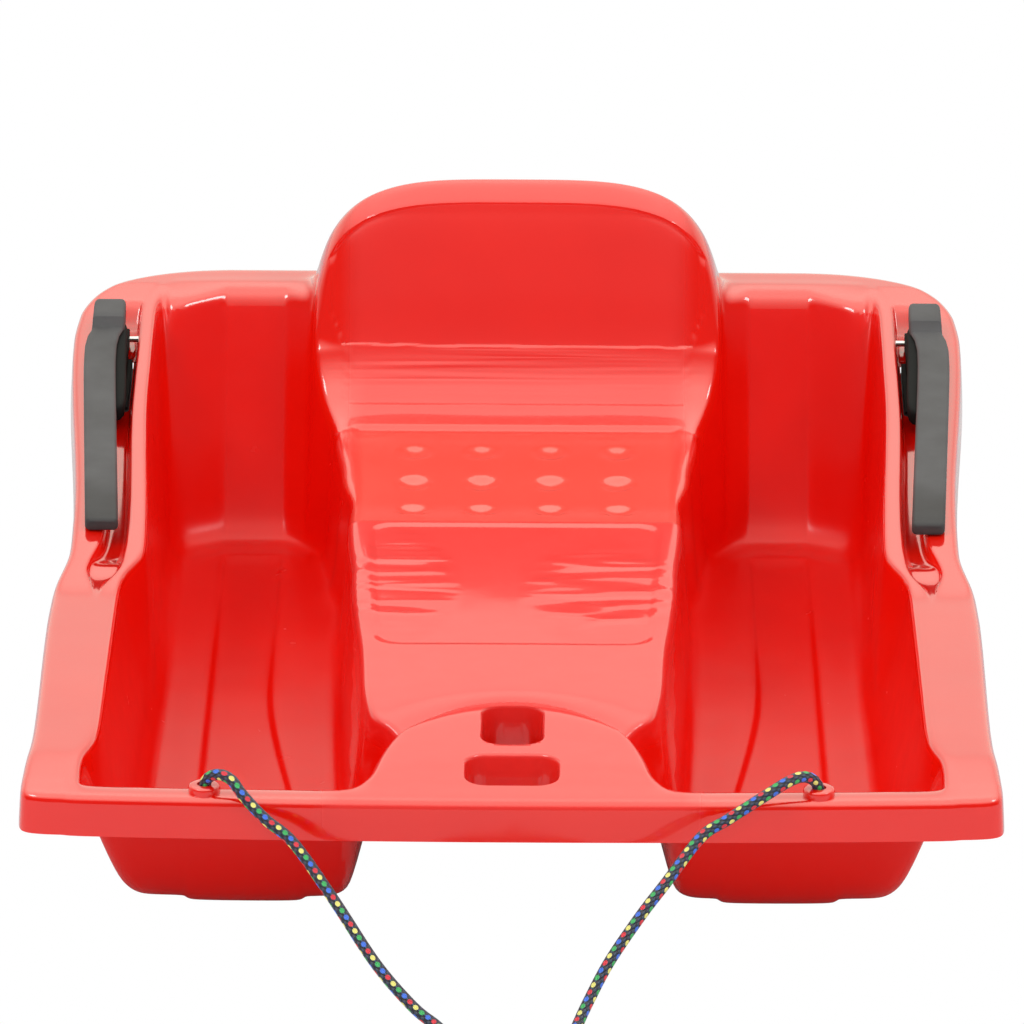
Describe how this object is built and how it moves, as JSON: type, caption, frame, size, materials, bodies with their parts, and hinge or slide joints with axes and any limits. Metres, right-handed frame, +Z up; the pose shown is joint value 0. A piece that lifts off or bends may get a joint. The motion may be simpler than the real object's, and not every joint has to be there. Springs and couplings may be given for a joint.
{
  "type": "plastic sled",
  "caption": "Moulded plastic sled with leg wells, a dished seat, a low backrest, hinged brake levers with claws and a tow rope.",
  "frame": {"origin": "on the ground, under the middle of the sled's length and width", "axes": "the front lip faces -Y, +Z is up, and +X is on the right of a viewer who looks at the front lip"},
  "size_m": [0.588, 1.0399, 0.2435],
  "materials": {
    "red_plastic": "glossy moulded red",
    "grey_plastic": "matte dark grey moulding",
    "steel": "plated steel",
    "cord": "black braid with coloured flecks"
  },
  "bodies": {
    "sled": {"hull_shell": "red_plastic", "pivot_pin_left": "steel", "pivot_pin_right": "steel", "pin_cap_left": "steel", "pin_cap_right": "steel", "tow_rope_left": "cord", "tow_rope_right": "cord", "rope_knot_left": "cord", "rope_knot_right": "cord", "rope_coil": "cord", "coil_tie": "cord"},
    "brake_left": {"brake_lever_left": "grey_plastic", "brake_claw_left": "steel", "claw_rivet_upper_left": "steel", "claw_rivet_lower_left": "steel"},
    "brake_right": {"brake_lever_right": "grey_plastic", "brake_claw_right": "steel", "claw_rivet_upper_right": "steel", "claw_rivet_lower_right": "steel"}
  },
  "joints": [
    {"name": "brake_left_pivot", "type": "hinge", "parent": "sled", "child": "brake_left", "pos_m": [-0.257, 0.302, 0.14667], "axis": [-1, 0, 0], "range_deg": [0, 24]},
    {"name": "brake_right_pivot", "type": "hinge", "parent": "sled", "child": "brake_right", "pos_m": [0.257, 0.302, 0.14667], "axis": [-1, 0, 0], "range_deg": [0, 24]}
  ]
}
